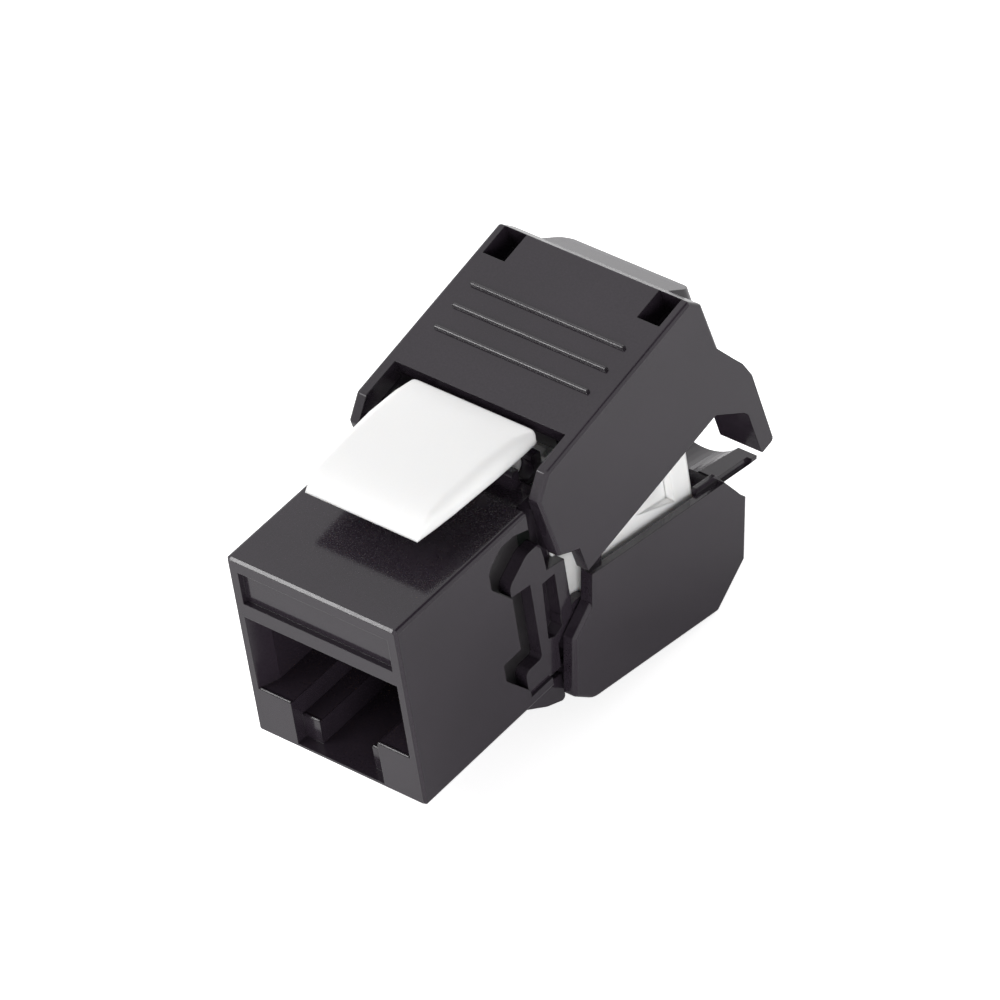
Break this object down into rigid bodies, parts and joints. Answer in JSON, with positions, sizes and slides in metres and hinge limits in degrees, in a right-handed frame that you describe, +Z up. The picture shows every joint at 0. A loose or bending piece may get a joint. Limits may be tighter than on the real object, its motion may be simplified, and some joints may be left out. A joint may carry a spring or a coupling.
{
  "type": "keystone jack",
  "caption": "Tool-less snap-in network socket: square nose with plug port, white snap latch on top, and two hinged rear covers standing half open round a white wiring block.",
  "frame": {"origin": "middle of the nose's front face, where the plug goes in", "axes": "+Y from the plug face to the cable end, +Z up towards the snap latch, +X to the right"},
  "size_m": [0.0166, 0.0399, 0.0268],
  "materials": {
    "black_plastic": "fine moulded texture",
    "insert_plastic": "satin",
    "white_plastic": "semi-gloss",
    "contact_metal": "plated, bright",
    "terminal_metal": "tinned",
    "board": "solder mask"
  },
  "bodies": {
    "jack_body": {"front_housing": "black_plastic", "contact_carrier": "insert_plastic", "circuit_board": "board", "rear_frame": "black_plastic", "wiring_block": "white_plastic", "spring_contact_1": "contact_metal", "spring_contact_2": "contact_metal", "spring_contact_3": "contact_metal", "spring_contact_4": "contact_metal", "spring_contact_5": "contact_metal", "spring_contact_6": "contact_metal", "spring_contact_7": "contact_metal", "spring_contact_8": "contact_metal", "idc_terminal_1": "terminal_metal", "idc_terminal_2": "terminal_metal", "idc_terminal_3": "terminal_metal", "idc_terminal_4": "terminal_metal", "idc_terminal_5": "terminal_metal", "idc_terminal_6": "terminal_metal", "idc_terminal_7": "terminal_metal", "idc_terminal_8": "terminal_metal"},
    "upper_cover": {"upper_cover": "black_plastic"},
    "lower_cover": {"lower_cover": "black_plastic"},
    "snap_latch": {"snap_latch": "white_plastic"}
  },
  "joints": [
    {"name": "upper_cover_hinge", "type": "hinge", "parent": "jack_body", "child": "upper_cover", "pos_m": [0, 0.0175, 0.0045], "axis": [1, 0, 0], "range_deg": [-11.1, 6]},
    {"name": "lower_cover_hinge", "type": "hinge", "parent": "jack_body", "child": "lower_cover", "pos_m": [0, 0.0175, -0.0045], "axis": [1, 0, 0], "range_deg": [-6, 10.3]},
    {"name": "latch_flex", "type": "hinge", "parent": "jack_body", "child": "snap_latch", "pos_m": [0, 0.0169, 0.0081], "axis": [1, 0, 0], "range_deg": [0, 9], "stiffness_Nm_per_rad": 0.35}
  ]
}
